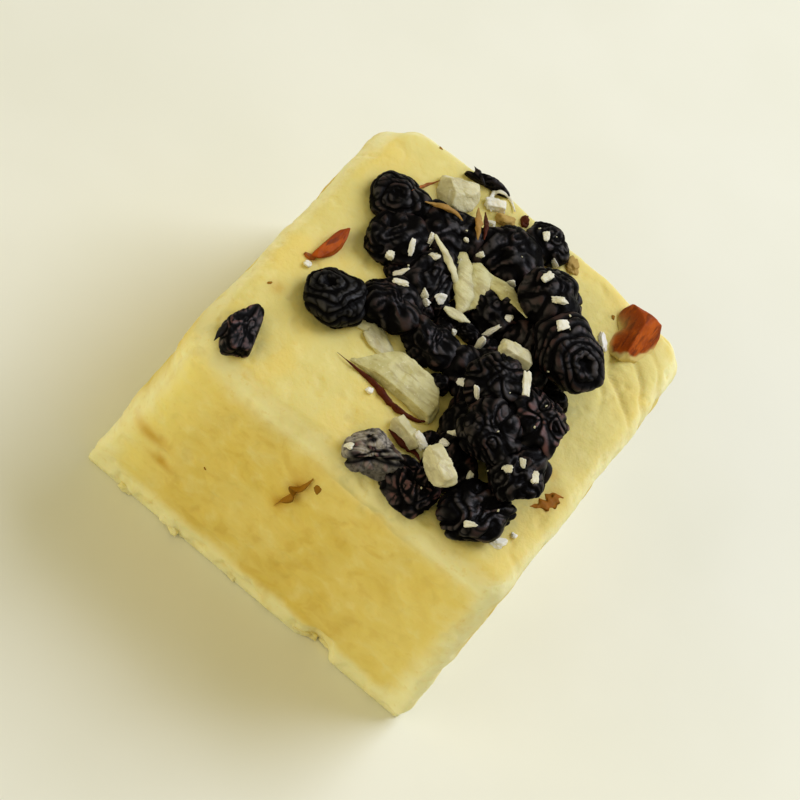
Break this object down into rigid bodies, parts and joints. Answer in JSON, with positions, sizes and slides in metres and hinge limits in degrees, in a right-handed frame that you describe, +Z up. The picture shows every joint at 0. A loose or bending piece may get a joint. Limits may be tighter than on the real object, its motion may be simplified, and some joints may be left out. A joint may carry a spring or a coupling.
{
  "type": "patisa",
  "caption": "Square piece of a pressed, pale yellow patisa sweet with a heap of dried dark berries and chopped almonds on its top.",
  "frame": {"origin": "centre of the plain square foot, on the surface that the piece rests on", "axes": "+Z up, the front face looks along -Y, and +X is to its right, where the heap is highest"},
  "size_m": [0.0431, 0.0438, 0.0351],
  "materials": {
    "sweet": "matte",
    "berry": "semi-gloss",
    "almond_flesh": "matte",
    "almond_skin": "matte"
  },
  "bodies": {
    "root": {"almond_flesh_front": "almond_flesh", "almond_flesh_inner": "almond_flesh", "almond_flesh_rear": "almond_flesh", "almond_flesh_side": "almond_flesh", "almond_slice": "almond_flesh", "almond_sliver": "almond_skin", "almond_wedge": "almond_skin", "berry_back_1": "berry", "berry_back_2": "berry", "berry_back_3": "berry", "berry_back_4": "berry", "berry_back_5": "berry", "berry_big": "berry", "berry_centre_1": "berry", "berry_centre_2": "berry", "berry_crest": "berry", "berry_flat": "berry", "berry_front_left": "berry", "berry_front_right": "berry", "berry_left_1": "berry", "berry_left_2": "berry", "berry_rear": "berry", "berry_round": "berry", "berry_row_1": "berry", "berry_row_2": "berry", "berry_row_3": "berry", "berry_row_4": "berry", "berry_second_1": "berry", "berry_second_2": "berry", "berry_skin": "berry", "berry_third_1": "berry", "berry_third_2": "berry", "berry_upper_1": "berry", "berry_upper_2": "berry", "berry_upper_3": "berry", "berry_upper_4": "berry", "patisa_body": "sweet"}
  },
  "joints": []
}
